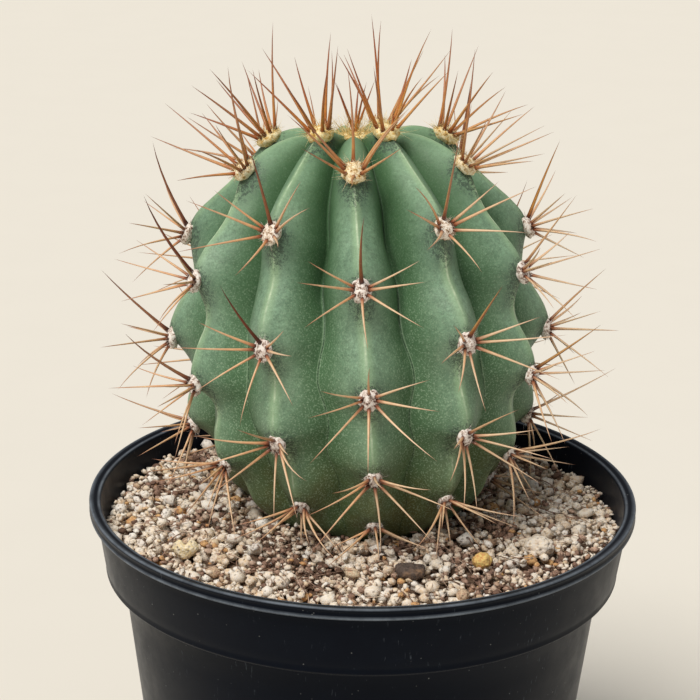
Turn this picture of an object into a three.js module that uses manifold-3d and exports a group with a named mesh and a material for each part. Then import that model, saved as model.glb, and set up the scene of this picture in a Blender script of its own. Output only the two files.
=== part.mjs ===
// A barrel cactus in a black plastic nursery pot, in millimetres, +Z up.
// The origin is on the surface that the pot stands on, at the middle of its foot. The front faces -Y.
//
// The pot is one moulding with a rolled lip, a deep collar, a tapered wall and a raised, drilled floor.
// It holds the potting mix, and a loose layer of pumice grit lies on the mix. The stem stands in both.
// Each areole on the stem's ribs carries its own felt cushion with a star of spines.
import * as THREE from "three";
import { mergeVertices } from "three/addons/utils/BufferGeometryUtils.js";
import Module from "manifold-3d";

const wasm = await Module();
wasm.setup();

const GAP = 0.3; // clearance between pieces that touch

// Pot
const POT_HEIGHT = 110;
const LIP_RADIUS = 70;
const LIP_THICKNESS = 2.2;
const COLLAR_HEIGHT = 19;
const COLLAR_TOP_RADIUS = 68.2;
const COLLAR_BOTTOM_RADIUS = 65.8;
const STEP_HEIGHT = 1.5; // slope under the collar, down to the wall
const WALL_TOP_RADIUS = 61.5;
const WALL_DRAFT = 0.1236; // radius lost for each millimetre of wall height
const WALL_THICKNESS = 1.3;
const FOOT_WIDTH = 5;
const FLOOR_RISE = 4; // the floor stands this far above the foot
const FLOOR_THICKNESS = 1.6;
const DRAIN_RADIUS = 4.5;
const DRAIN_CIRCLE_RADIUS = 36;
const DRAIN_COUNT = 8;
const POT_SIDES = 44;

// Potting mix and the grit on it
const MIX_EDGE_BELOW_RIM = 9;
const MIX_CROWN_BELOW_RIM = 5;
const GRIT_THICKNESS = 3.2;
const GRIT_BUMP = 0.7;
const HEAP_RADIUS = 28; // the heap around the stem is level out to here
const BED_RADIUS = 62;
const BED_RINGS = 5;

// Stem: its ribs' crests lie on a barrel, fuller above the equator than below it
const PLANT_OFFSET_X = 0.9;
const PLANT_LEAN_LEFT = THREE.MathUtils.degToRad(2.7);
const PLANT_LEAN_BACK = THREE.MathUtils.degToRad(8.5);
const PLANT_BELOW_RIM = 1.5; // the plant's own origin, which it leans about
const STEM_RADIUS = 47.8;
const EQUATOR_RISE = 43;
const CROWN_RISE = 55.5;
const CROWN_POWER = 2.11;
const BASE_DROP = 53.8;
const NECK_ANGLE = THREE.MathUtils.degToRad(156); // where the barrel gives way to the root crown
const ROOT_DEPTH = 26;
const DIMPLE_DEPTH = 6;
const DIMPLE_RADIUS = 10;

// Ribs
const RIB_COUNT = 11;
const RIB_PITCH = (2 * Math.PI) / RIB_COUNT;
const COLUMNS_PER_RIB = 6;
const STEM_ROWS = 25;
const CREST_ROUND = 0.06; // how blunt the crest is, as a share of half a rib
const CHEEK_SLOPE = 0.6; // near the crown, the share of the groove's depth that lies on the straight flank
const CHEEK_CURVE = 4; // the power by which the rest of that depth drops into the groove
const CROWN_GROOVE_SHARE = 0.41; // groove depth as a share of the crest's radius
const BASE_GROOVE_SHARE = 0.19;
const RIB_REACH = [0, 0, -0.02, 0.015, 0, 0.01, -0.01, 0, 0.03, -0.01, -0.01]; // as shares of the radius
const RIB_TURN = [0.3, -1.1, -0.3, -1.2, 0, 0.5, 0, -0.5, 0.6, 0.1, 1.6].map(THREE.MathUtils.degToRad);
const TWIST_START = THREE.MathUtils.degToRad(-2.4);
const TWIST_RATE = THREE.MathUtils.degToRad(0.05); // for each millimetre down the crest

// Areoles: their spacing shrinks by a constant factor down the crest
const SPACING_LIMIT = 239;
const SPACING_START = 223;
const SPACING_FACTOR = 0.85;
const RIB_PHASES = [0.46, 0, 0.5, 0.22, 0.72, 0.2, 0.75, 0.6, 0.19, 0.49, 0];
const FIRST_AREOLE_AT = 8;
const LAST_AREOLE_AT = 131;
const AREOLE_ABOVE_GRIT = 3.4; // lower than this and the grit would bury it
const WAIST_AT_CROWN = 1.8; // how far the crest dips between two areoles
const WAIST_AT_EQUATOR = 5.2;
const BULGE_LEAD = 0.06; // the swelling peaks this share of a spacing below its areole
const WAIST_SKEW = 0.75; // under 1, the dip comes nearer to the areole above it

// Stretches of the crest, in millimetres down it from the crown's middle
const CROWN_RIM = [4, 14];
const RIBS_PART = [15, 50];
const WAISTS_DEEPEN = [15, 70];
const WAISTS_FADE_FROM = 95;
const GROOVES_EASE = [48, 92];
const CHEEKS_FLATTEN = [58, 88];
const GROOVES_CLOSE_FROM = 122;

// Cushions and spines
const CUSHION_WIDTH = 5;
const CUSHION_LENGTH = 6;
const CUSHION_HEIGHT = 2;
const SPINE_RADIUS = 0.55;
const SPINES = [
  // degrees round from straight up the crest, degrees of lift added, share of the cluster's spine length
  { turn: 0, lift: 8, share: 1.06 },
  { turn: 62, lift: 0, share: 0.82 },
  { turn: -62, lift: 0, share: 0.82 },
  { turn: 88, lift: 2, share: 1 },
  { turn: -88, lift: 2, share: 1 },
  { turn: 125, lift: -4, share: 0.97 },
  { turn: -125, lift: -4, share: 0.97 },
  { turn: 180, lift: -8, share: 0.8 },
];
const SPINE_SEED = 7;
const YOUNG_UNTIL = 10; // the lengths down the crest between which the spines age
const OLD_FROM = 62;
const SPINE_SIDES = 3;
const CUSHION_SIDES = 6;
const SHORTEST_SPINE = 5;
const SPINE_STEP = 1;
const FARTHEST_TIP = LIP_RADIUS - 0.6; // from the pot's axis, so that the lip meets a wall first
const LIFT_TRIALS = [0, 6, -6, 12, -12, 18]; // degrees added to a lift that meets a neighbour
const YOUNG_SPINE_LENGTH = 25;
const OLD_SPINE_LENGTH = 22;
const YOUNG_LIFT = 58; // degrees off the skin
const OLD_LIFT = 37;
const LIFT_SPREAD = 12;
const TURN_SPREAD = 12;
const LENGTH_SPREAD = 0.22;
const CROWN_WOOL_RADIUS = 7;
const CROWN_WOOL_HEIGHT = 3.6;
const CROWN_SPINE_COUNT = 5;
const CROWN_SPINE_LENGTH = 14;
const CROWN_LIFT = 66;

const black = new THREE.MeshStandardMaterial({ color: 0x1b1c1f, roughness: 0.5, metalness: 0 });
const earth = new THREE.MeshStandardMaterial({ color: 0x5b4636, roughness: 0.95, metalness: 0 });
const pumice = new THREE.MeshStandardMaterial({ color: 0xcdbfa6, roughness: 0.9, metalness: 0 });
const green = new THREE.MeshStandardMaterial({ color: 0x4f7d5c, roughness: 0.6, metalness: 0 });
const horn = new THREE.MeshStandardMaterial({ color: 0xb5794f, roughness: 0.45, metalness: 0 });
const amber = new THREE.MeshStandardMaterial({ color: 0xd8b06a, roughness: 0.7, metalness: 0 });
const bark = new THREE.MeshStandardMaterial({ color: 0x5c4a3e, roughness: 0.9, metalness: 0 });
const wool = new THREE.MeshStandardMaterial({ color: 0xe4d3a4, roughness: 1, metalness: 0 });

// Loose pieces that stand out of the grit. at holds a bearing in degrees from the front, towards +X,
// and a distance from the pot's axis.
const LUMPS = [
  { name: "heart_shaped_pumice", tint: pumice, half: [3.4, 3, 2.6], at: [-57, 52], turn: 20, seed: 3 },
  { name: "yellow_pebble", tint: amber, half: [2.6, 2.2, 2], at: [41, 45], turn: 60, seed: 5 },
  { name: "cream_pumice_lump", tint: pumice, half: [3.6, 2.9, 2.5], at: [62, 50], turn: 10, seed: 9 },
  { name: "bark_chip", tint: bark, half: [4, 3.2, 1.4], at: [16, 43], turn: 15, seed: 12 },
];

// ---------------------------------------------------------------- helpers

const mix = THREE.MathUtils.lerp;
const smoothstep = (x, low, high) => THREE.MathUtils.smoothstep(x, low, high);

// A repeatable stream of numbers from 0 to 1.
function randomStream(seed) {
  let state = seed >>> 0;
  return () => {
    state = (Math.imul(state, 1664525) + 1013904223) >>> 0;
    return state / 4294967296;
  };
}

// A closed geometry as a solid that can be cut or joined.
function toSolid(geometry) {
  const bare = geometry.clone();
  bare.deleteAttribute("normal");
  bare.deleteAttribute("uv");
  const merged = mergeVertices(bare, 1e-3);
  return new wasm.Manifold(
    new wasm.Mesh({
      numProp: 3,
      vertProperties: merged.attributes.position.array,
      triVerts: new Uint32Array(merged.index.array),
    }),
  );
}

function toGeometry(solid) {
  const made = solid.getMesh();
  const geometry = new THREE.BufferGeometry();
  geometry.setAttribute("position", new THREE.BufferAttribute(made.vertProperties, 3));
  geometry.setIndex(new THREE.BufferAttribute(made.triVerts, 1));
  geometry.computeVertexNormals();
  return geometry;
}

// A solid turned from a profile of [radius, height] points, listed from the bottom up its outside.
function turned(points, sides) {
  const profile = points.map(([radius, height]) => new THREE.Vector2(radius, height));
  return new THREE.LatheGeometry(profile, sides).rotateX(Math.PI / 2);
}

function piece(name, geometry, material) {
  const mesh = new THREE.Mesh(geometry, material);
  mesh.name = name;
  return mesh;
}

// ---------------------------------------------------------------- pot

const collarBottom = POT_HEIGHT - COLLAR_HEIGHT;
const wallTop = collarBottom - STEP_HEIGHT;
const floorTop = FLOOR_RISE + FLOOR_THICKNESS;
const wallRadius = (z) => WALL_TOP_RADIUS - WALL_DRAFT * (wallTop - z);

function potGeometry() {
  const lipBottom = POT_HEIGHT - LIP_THICKNESS;
  const footOuter = wallRadius(0);
  const footInner = footOuter - FOOT_WIDTH;
  const shell = turned(
    [
      [0, FLOOR_RISE],
      [footInner - 1, FLOOR_RISE],
      [footInner, 0],
      [footOuter, 0],
      [WALL_TOP_RADIUS, wallTop],
      [COLLAR_BOTTOM_RADIUS, collarBottom],
      [COLLAR_TOP_RADIUS, lipBottom],
      [LIP_RADIUS - 0.4, lipBottom + 0.2],
      [LIP_RADIUS, lipBottom + 1],
      [LIP_RADIUS - 0.5, POT_HEIGHT - 0.4],
      [LIP_RADIUS - 1.4, POT_HEIGHT],
      [COLLAR_TOP_RADIUS - WALL_THICKNESS + 0.4, POT_HEIGHT],
      [COLLAR_TOP_RADIUS - WALL_THICKNESS, POT_HEIGHT - 0.6],
      [COLLAR_BOTTOM_RADIUS - WALL_THICKNESS, collarBottom + 1],
      [WALL_TOP_RADIUS - WALL_THICKNESS, wallTop],
      [wallRadius(floorTop) - WALL_THICKNESS, floorTop + 1.5],
      [wallRadius(floorTop) - WALL_THICKNESS - 1.5, floorTop],
      [0, floorTop],
    ],
    POT_SIDES,
  );
  let solid = toSolid(shell);
  const drill = new THREE.CylinderGeometry(DRAIN_RADIUS, DRAIN_RADIUS, 3 * floorTop, 12).rotateX(Math.PI / 2);
  const drain = toSolid(drill);
  solid = solid.subtract(drain);
  for (let i = 0; i < DRAIN_COUNT; i++) {
    const angle = (i * 2 * Math.PI) / DRAIN_COUNT;
    const at = [DRAIN_CIRCLE_RADIUS * Math.cos(angle), DRAIN_CIRCLE_RADIUS * Math.sin(angle), 0];
    solid = solid.subtract(drain.translate(at));
  }
  return toGeometry(solid);
}

// ---------------------------------------------------------------- stem

// The barrel's meridian through a crest, from the crown's middle to the neck, with its length so far.
function crestMeridian() {
  const samples = [];
  const steps = 600;
  let length = 0;
  for (let i = 0; i <= steps; i++) {
    const angle = (NECK_ANGLE * i) / steps;
    const power = angle < Math.PI / 2 ? 2 / CROWN_POWER : 1;
    const radius = STEM_RADIUS * Math.sin(angle) ** power;
    const rise = angle < Math.PI / 2 ? CROWN_RISE * Math.cos(angle) ** power : BASE_DROP * Math.cos(angle);
    const dimple = DIMPLE_DEPTH * Math.exp(-((radius / DIMPLE_RADIUS) ** 2)) * (angle < Math.PI / 2 ? 1 : 0);
    const point = new THREE.Vector2(radius, EQUATOR_RISE + rise - dimple);
    if (i > 0) length += point.distanceTo(samples[i - 1].point);
    samples.push({ point, length });
  }
  return samples;
}

const meridian = crestMeridian();
const neckAt = meridian.at(-1).length;

// The crest's point and outward normal at a length down the meridian.
function crestAt(length) {
  const found = meridian.findIndex((sample) => sample.length >= length);
  const i = THREE.MathUtils.clamp(found < 0 ? meridian.length - 1 : found, 1, meridian.length - 1);
  const [above, below] = [meridian[i - 1], meridian[i]];
  const share = (length - above.length) / (below.length - above.length);
  const point = above.point.clone().lerp(below.point, THREE.MathUtils.clamp(share, 0, 1));
  const along = below.point.clone().sub(above.point).normalize();
  return { point, normal: new THREE.Vector2(-along.y, along.x) };
}

const twistedAngle = (rib, length) => rib * RIB_PITCH + TWIST_START + TWIST_RATE * length;
const crestAngle = (rib, length) => twistedAngle(rib, length) + RIB_TURN[rib];

function areoleLength(rib, count) {
  return SPACING_LIMIT - SPACING_START * SPACING_FACTOR ** (count + RIB_PHASES[rib]);
}

// The areole number at a length down the crest, as a fraction between areoles.
function areoleCount(rib, length) {
  const left = Math.max(SPACING_LIMIT - length, 1);
  return Math.log(left / SPACING_START) / Math.log(SPACING_FACTOR) - RIB_PHASES[rib];
}

const fract = (x) => x - Math.floor(x);

// How far the crest lies below the barrel: nothing at an areole, most a little way under it.
function waistDepth(rib, length) {
  const phase = fract(areoleCount(rib, length) + BULGE_LEAD);
  const wave = (1 - Math.cos(2 * Math.PI * phase ** WAIST_SKEW)) / 2;
  const size = mix(WAIST_AT_CROWN, WAIST_AT_EQUATOR, smoothstep(length, ...WAISTS_DEEPEN));
  return size * wave * (1 - smoothstep(length, WAISTS_FADE_FROM, neckAt)) * smoothstep(length, ...CROWN_RIM);
}

function grooveDepth(length, radius) {
  const share = mix(CROWN_GROOVE_SHARE, BASE_GROOVE_SHARE, smoothstep(length, ...GROOVES_EASE));
  return radius * share * (1 - smoothstep(length, GROOVES_CLOSE_FROM, neckAt));
}

// A point of the stem's skin. across is 0 on the crest and 1 in the groove beside it.
function skinPoint(rib, across, length, offset = 0) {
  const { point, normal } = crestAt(length);
  const side = Math.abs(across);
  const wedge = (Math.hypot(side, CREST_ROUND) - CREST_ROUND) / (Math.hypot(1, CREST_ROUND) - CREST_ROUND);
  const cheek = mix(side ** CHEEK_CURVE, wedge, CHEEK_SLOPE);
  const flank = mix(cheek, wedge, smoothstep(length, ...CHEEKS_FLATTEN));
  const inset = grooveDepth(length, point.x) * flank + waistDepth(rib, length) * (1 - side) - offset;
  const reach = point.x * RIB_REACH[rib] * (1 - side) * smoothstep(length, ...RIBS_PART);
  const radius = Math.max(point.x + reach - normal.x * inset, 0);
  const angle = twistedAngle(rib, length) + RIB_TURN[rib] * (1 - side) + (across * RIB_PITCH) / 2;
  return new THREE.Vector3(radius * Math.sin(angle), -radius * Math.cos(angle), point.y - normal.y * inset);
}

const plantPlace = new THREE.Matrix4()
  .makeTranslation(PLANT_OFFSET_X, 0, POT_HEIGHT - PLANT_BELOW_RIM)
  .multiply(new THREE.Matrix4().makeRotationX(-PLANT_LEAN_BACK))
  .multiply(new THREE.Matrix4().makeRotationY(-PLANT_LEAN_LEFT));

// The whole stem, with its root crown, swollen by an offset when it is used to cut its neighbours.
function stemGeometry(offset = 0) {
  const neck = crestAt(neckAt).point;
  const rootRows = [1 / 3, 2 / 3, 1].map((share) => {
    const radius = (neck.x + offset) * Math.sqrt(1 - share ** 2);
    return new THREE.Vector2(radius, neck.y - share * (ROOT_DEPTH + offset));
  });
  const lengths = [];
  for (let i = 0; i <= STEM_ROWS; i++) lengths.push((neckAt * (STEM_ROWS - i)) / STEM_ROWS);
  const profile = [...rootRows.reverse(), ...lengths.map((length) => crestAt(length).point)];
  profile.at(0).x = 0;
  profile.at(-1).x = 0;
  const columns = RIB_COUNT * COLUMNS_PER_RIB;
  const geometry = new THREE.LatheGeometry(profile, columns).rotateX(Math.PI / 2);
  const positions = geometry.attributes.position;
  for (let i = 0; i < positions.count; i++) {
    const column = Math.floor(i / profile.length) % columns;
    const row = i % profile.length;
    const rib = Math.round(column / COLUMNS_PER_RIB);
    const across = (2 * column) / COLUMNS_PER_RIB - 2 * rib;
    if (row >= rootRows.length) {
      const length = lengths[row - rootRows.length];
      const point = skinPoint(rib % RIB_COUNT, across, length, offset);
      positions.setXYZ(i, point.x, point.y, point.z);
    } else {
      const { x: radius, y: height } = profile[row];
      const angle = twistedAngle(rib, neckAt) + (across * RIB_PITCH) / 2;
      positions.setXYZ(i, radius * Math.sin(angle), -radius * Math.cos(angle), height);
    }
  }
  return geometry.applyMatrix4(plantPlace);
}

// ---------------------------------------------------------------- potting mix and grit

const innerCollarRadius = (z) => {
  const share = (z - collarBottom) / COLLAR_HEIGHT;
  return mix(COLLAR_BOTTOM_RADIUS, COLLAR_TOP_RADIUS, share) - WALL_THICKNESS - GAP;
};

// The mix heaps up a little towards the stem.
function mixTop(radius) {
  const heap = 1 - smoothstep(radius, HEAP_RADIUS, BED_RADIUS);
  return POT_HEIGHT - mix(MIX_EDGE_BELOW_RIM, MIX_CROWN_BELOW_RIM, heap);
}

function gritTop(x, y) {
  const bump = Math.sin(0.31 * x + 1) * Math.cos(0.27 * y) + Math.sin(0.13 * x - 0.19 * y);
  return mixTop(Math.hypot(x, y)) + GRIT_THICKNESS + (GRIT_BUMP * bump) / 2;
}

// Points of a bed's upper face, from its edge in to the axis.
function bedSurface(edgeRadius, rise) {
  const points = [];
  for (let i = BED_RINGS; i >= 0; i--) {
    const radius = (edgeRadius * i) / BED_RINGS;
    points.push([radius, mixTop(radius) + rise]);
  }
  return points;
}

function mixGeometry(stemHole) {
  const edge = POT_HEIGHT - MIX_EDGE_BELOW_RIM;
  const floorRadius = wallRadius(floorTop) - WALL_THICKNESS - GAP;
  const bed = turned(
    [
      [0, floorTop + GAP],
      [floorRadius - 1.5, floorTop + GAP],
      [floorRadius, floorTop + 1.5 + GAP],
      [WALL_TOP_RADIUS - WALL_THICKNESS - GAP, wallTop],
      [COLLAR_BOTTOM_RADIUS - WALL_THICKNESS - GAP, collarBottom + 1 + GAP],
      ...bedSurface(innerCollarRadius(edge), 0),
    ],
    POT_SIDES,
  );
  return toGeometry(toSolid(bed).subtract(stemHole));
}

function gritGeometry(holes) {
  const edge = POT_HEIGHT - MIX_EDGE_BELOW_RIM;
  const under = bedSurface(innerCollarRadius(edge), GAP).reverse();
  const over = bedSurface(innerCollarRadius(edge), GRIT_THICKNESS);
  const bed = turned([...under, ...over], POT_SIDES);
  const positions = bed.attributes.position;
  for (let i = 0; i < positions.count; i++) {
    const isOver = i % (under.length + over.length) >= under.length;
    if (isOver) positions.setZ(i, gritTop(positions.getX(i), positions.getY(i)));
  }
  return toGeometry(holes.reduce((solid, hole) => solid.subtract(hole), toSolid(bed)));
}

// ---------------------------------------------------------------- loose lumps

// A rounded stone with shallow hollows, bedded in the grit up to its waist.
function lumpGeometry({ half, at, turn, seed }, swell = 0) {
  const geometry = new THREE.IcosahedronGeometry(1, 1);
  const positions = geometry.attributes.position;
  for (let i = 0; i < positions.count; i++) {
    const point = new THREE.Vector3().fromBufferAttribute(positions, i);
    const hollow = Math.sin(3 * point.x + seed) * Math.sin(2.6 * point.y + 2 * seed) * Math.cos(2 * point.z);
    point.multiplyScalar(1 + 0.12 * hollow);
    positions.setXYZ(i, point.x, point.y, point.z);
  }
  geometry.scale(half[0] + swell, half[1] + swell, half[2] + swell);
  geometry.rotateZ(THREE.MathUtils.degToRad(turn));
  const { x, y, z } = lumpCentre({ half, at });
  return geometry.translate(x, y, z);
}

function lumpCentre({ half, at: [bearing, reach] }) {
  const angle = THREE.MathUtils.degToRad(bearing);
  const [x, y] = [reach * Math.sin(angle), -reach * Math.cos(angle)];
  return new THREE.Vector3(x, y, gritTop(x, y) + 0.3 * half[2]);
}

// ---------------------------------------------------------------- spines

// Every areole, rib by rib from the crown down, with directions out of the skin, up the crest and across it.
function findAreoles() {
  const found = [];
  for (let rib = 0; rib < RIB_COUNT; rib++) {
    let tier = 1;
    for (let count = 0; areoleLength(rib, count) <= LAST_AREOLE_AT; count++) {
      const length = areoleLength(rib, count);
      if (length < FIRST_AREOLE_AT) continue;
      const centre = skinPoint(rib, 0, length).applyMatrix4(plantPlace);
      if (centre.z < gritTop(centre.x, centre.y) + AREOLE_ABOVE_GRIT) break;
      const angle = crestAngle(rib, length);
      const { normal } = crestAt(length);
      const outward = new THREE.Vector3(Math.sin(angle), -Math.cos(angle), 0);
      const up = outward.clone().multiplyScalar(-normal.y).setZ(normal.x);
      outward.multiplyScalar(normal.x).setZ(normal.y);
      found.push({
        name: `spines_rib${String(rib + 1).padStart(2, "0")}_tier${tier++}`,
        centre,
        out: outward.transformDirection(plantPlace),
        up: up.transformDirection(plantPlace),
        side: new THREE.Vector3(Math.cos(angle), Math.sin(angle), 0).transformDirection(plantPlace),
        age: smoothstep(length, YOUNG_UNTIL, OLD_FROM),
      });
    }
  }
  return found;
}

// The shortest distance between two straight segments.
function segmentDistance(a, b) {
  const [u, v, w] = [a.end.clone().sub(a.start), b.end.clone().sub(b.start), a.start.clone().sub(b.start)];
  const [uu, uv, vv, uw, vw] = [u.dot(u), u.dot(v), v.dot(v), u.dot(w), v.dot(w)];
  const clamp = (x) => THREE.MathUtils.clamp(x, 0, 1);
  const spread = uu * vv - uv * uv;
  let s = spread > 1e-9 ? clamp((uv * vw - vv * uw) / spread) : 0;
  const t = vv > 1e-9 ? clamp((uv * s + vw) / vv) : 0;
  s = uu > 1e-9 ? clamp((uv * t - uw) / uu) : 0;
  return w.addScaledVector(u, s).addScaledVector(v, -t).length();
}

function isClear(spine, taken) {
  if (Math.hypot(spine.end.x, spine.end.y) > FARTHEST_TIP) return false;
  if (spine.end.z < gritTop(spine.end.x, spine.end.y) + SPINE_RADIUS + GAP) return false;
  return taken.every((other) => {
    const reach = other.radius + SPINE_RADIUS + GAP;
    return other.owner === spine.owner || segmentDistance(spine, other) > reach;
  });
}

// Grows a spine until it meets a neighbour, and tries other lifts to let it grow longer.
function growSpine(owner, start, turn, lift, wanted, taken) {
  let best = null;
  for (const extra of LIFT_TRIALS) {
    const angle = THREE.MathUtils.degToRad(lift + extra);
    const along = owner.up.clone().multiplyScalar(Math.cos(turn)).addScaledVector(owner.side, Math.sin(turn));
    const direction = along.multiplyScalar(Math.cos(angle)).addScaledVector(owner.out, Math.sin(angle));
    let length = wanted;
    const grown = () => ({ owner, start, end: start.clone().addScaledVector(direction, length) });
    while (length >= SHORTEST_SPINE && !isClear(grown(), taken)) length -= SPINE_STEP;
    if (length >= SHORTEST_SPINE && length > (best?.length ?? 0)) {
      best = { ...grown(), length, direction, radius: SPINE_RADIUS };
    }
    if (best && best.length === wanted) break;
  }
  return best;
}

function spineSolid({ start, direction, length }) {
  const cone = new THREE.ConeGeometry(SPINE_RADIUS, length, SPINE_SIDES, 1);
  cone.translate(0, length / 2, 0);
  cone.applyQuaternion(new THREE.Quaternion().setFromUnitVectors(new THREE.Vector3(0, 1, 0), direction));
  return toSolid(cone.translate(start.x, start.y, start.z));
}

// A felt cushion on the skin with its spines standing in it, trimmed to sit on the stem.
function clusterGeometry(owner, cushion, spines, stemHole) {
  const basis = new THREE.Matrix4().makeBasis(owner.side, owner.up, owner.out);
  const pad = new THREE.SphereGeometry(1, CUSHION_SIDES, CUSHION_SIDES / 2).rotateX(Math.PI / 2);
  pad.scale(cushion[0], cushion[1], cushion[2]).applyMatrix4(basis);
  pad.translate(owner.centre.x, owner.centre.y, owner.centre.z);
  let solid = toSolid(pad);
  for (const spine of spines) solid = solid.add(spineSolid(spine));
  const bodies = solid.subtract(stemHole).decompose();
  return toGeometry(bodies.reduce((a, b) => (a.volume() > b.volume() ? a : b)));
}

// ---------------------------------------------------------------- the potted plant

const model = new THREE.Group();
model.add(piece("nursery_pot", potGeometry(), black));

const stemHole = toSolid(stemGeometry(GAP));
model.add(piece("cactus_stem", toGeometry(toSolid(stemGeometry())), green));
model.add(piece("potting_mix", mixGeometry(stemHole), earth));
const lumpHoles = LUMPS.map((lump) => toSolid(lumpGeometry(lump, GAP)));
model.add(piece("pumice_top_dressing", gritGeometry([stemHole, ...lumpHoles]), pumice));
for (const lump of LUMPS) {
  model.add(piece(lump.name, toGeometry(toSolid(lumpGeometry(lump))), lump.tint));
}

const random = randomStream(SPINE_SEED);
const cushionHalf = [CUSHION_WIDTH / 2, CUSHION_LENGTH / 2, CUSHION_HEIGHT];
const areoles = findAreoles();
const crown = {
  name: "crown_wool_and_spines",
  centre: new THREE.Vector3(0, 0, crestAt(0).point.y).applyMatrix4(plantPlace),
  out: new THREE.Vector3(0, 0, 1).transformDirection(plantPlace),
  up: new THREE.Vector3(0, 1, 0).transformDirection(plantPlace),
  side: new THREE.Vector3(1, 0, 0).transformDirection(plantPlace),
};

// Everything that a growing spine has to keep clear of. It starts with the cushions and the lumps.
const taken = [];
for (const areole of areoles) {
  taken.push({ owner: areole, start: areole.centre, end: areole.centre, radius: CUSHION_LENGTH / 2 });
}
taken.push({ owner: crown, start: crown.centre, end: crown.centre, radius: CROWN_WOOL_RADIUS });
for (const lump of LUMPS) {
  const centre = lumpCentre(lump);
  taken.push({ owner: lump, start: centre, end: centre, radius: Math.max(...lump.half) });
}

for (const areole of areoles) {
  const start = areole.centre.clone().addScaledVector(areole.out, CUSHION_HEIGHT / 2);
  const spines = [];
  for (const { turn, lift, share } of SPINES) {
    const bearing = THREE.MathUtils.degToRad(turn + TURN_SPREAD * (random() - 0.5));
    const lifted = mix(YOUNG_LIFT, OLD_LIFT, areole.age) + lift + LIFT_SPREAD * (random() - 0.5);
    const usual = share * mix(YOUNG_SPINE_LENGTH, OLD_SPINE_LENGTH, areole.age);
    const wanted = usual * (1 + LENGTH_SPREAD * (random() - 0.5));
    const spine = growSpine(areole, start, bearing, lifted, wanted, taken);
    if (spine) {
      spines.push(spine);
      taken.push(spine);
    }
  }
  model.add(piece(areole.name, clusterGeometry(areole, cushionHalf, spines, stemHole), horn));
}

const crownSpines = [];
const crownStart = crown.centre.clone().addScaledVector(crown.out, CROWN_WOOL_HEIGHT / 2);
for (let i = 0; i < CROWN_SPINE_COUNT; i++) {
  const turn = (2 * Math.PI * (i + 0.3 * random())) / CROWN_SPINE_COUNT;
  const spine = growSpine(crown, crownStart, turn, CROWN_LIFT, CROWN_SPINE_LENGTH, taken);
  if (spine) {
    crownSpines.push(spine);
    taken.push(spine);
  }
}
const woolHalf = [CROWN_WOOL_RADIUS, CROWN_WOOL_RADIUS, CROWN_WOOL_HEIGHT];
model.add(piece(crown.name, clusterGeometry(crown, woolHalf, crownSpines, stemHole), wool));

export default model;
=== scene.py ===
"""A barrel cactus in a black nursery pot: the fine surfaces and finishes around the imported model.

Sizes are in millimetres until a mesh is made, which is in metres. +Z is up and the plant's front faces -Y.
"""
import functools
import math
import random

import bmesh
import bpy
import numpy as np
from mathutils import Matrix, Vector, noise


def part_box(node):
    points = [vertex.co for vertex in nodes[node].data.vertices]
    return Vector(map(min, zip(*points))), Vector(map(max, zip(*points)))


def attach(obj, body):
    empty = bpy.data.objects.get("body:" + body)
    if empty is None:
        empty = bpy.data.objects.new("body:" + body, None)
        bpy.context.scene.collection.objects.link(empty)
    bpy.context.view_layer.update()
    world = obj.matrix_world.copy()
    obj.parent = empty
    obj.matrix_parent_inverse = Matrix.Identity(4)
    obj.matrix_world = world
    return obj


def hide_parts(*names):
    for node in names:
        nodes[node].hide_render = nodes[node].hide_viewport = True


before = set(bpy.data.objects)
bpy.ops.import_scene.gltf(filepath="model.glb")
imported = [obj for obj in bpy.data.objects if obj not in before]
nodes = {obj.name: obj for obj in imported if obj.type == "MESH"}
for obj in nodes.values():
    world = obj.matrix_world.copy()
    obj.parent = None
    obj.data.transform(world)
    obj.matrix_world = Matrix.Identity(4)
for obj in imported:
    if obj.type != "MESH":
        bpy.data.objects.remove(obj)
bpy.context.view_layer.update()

MM = 0.001
BODY = "root"

# Pot
POT_HEIGHT = 110
LIP_RADIUS = 70
COLLAR_HEIGHT = 19
COLLAR_TOP_RADIUS = 68.2
COLLAR_BOTTOM_RADIUS = 65.8
STEP_HEIGHT = 1.5
WALL_TOP_RADIUS = 61.5
WALL_DRAFT = 0.1236
WALL_THICKNESS = 1.3
FOOT_WIDTH = 5
FLOOR_RISE = 4
FLOOR_THICKNESS = 1.6
DRAIN_RADIUS = 4.5
DRAIN_CIRCLE_RADIUS = 36
DRAIN_COUNT = 8
POT_STEPS = 180

# Bed
MIX_EDGE_BELOW_RIM = 9
MIX_CROWN_BELOW_RIM = 5
HEAP_RADIUS = 28
BED_RADIUS = 62
BED_EDGE = 66
FIBRE_COUNT = 420

# Stem
PLANT_OFFSET_X = 0.9
PLANT_LEAN_LEFT = math.radians(2.7)
PLANT_LEAN_BACK = math.radians(8.5)
PLANT_BELOW_RIM = 1.5
STEM_RADIUS = 47.8
EQUATOR_RISE = 43
CROWN_RISE = 55.5
CROWN_POWER = 2.11
BASE_DROP = 53.8
NECK_ANGLE = math.radians(156)
ROOT_DEPTH = 26
DIMPLE_DEPTH = 6
DIMPLE_RADIUS = 10
RIB_COUNT = 11
RIB_PITCH = 2 * math.pi / RIB_COUNT
CROWN_GROOVE_SHARE = 0.41
BASE_GROOVE_SHARE = 0.19
RIB_REACH = np.array([0, 0, -0.02, 0.015, 0, 0.01, -0.01, 0, 0.03, -0.01, -0.01])
RIB_TURN = np.radians([0.3, -1.1, -0.3, -1.2, 0, 0.5, 0, -0.5, 0.6, 0.1, 1.6])
TWIST_START = math.radians(-2.4)
TWIST_RATE = math.radians(0.05)
SPACING_LIMIT = 239
SPACING_START = 223
SPACING_FACTOR = 0.85
RIB_PHASES = np.array([0.46, 0, 0.5, 0.22, 0.72, 0.2, 0.75, 0.6, 0.19, 0.49, 0])
FIRST_AREOLE_AT = 8
CHEEK_SLOPE = 0.6
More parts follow.
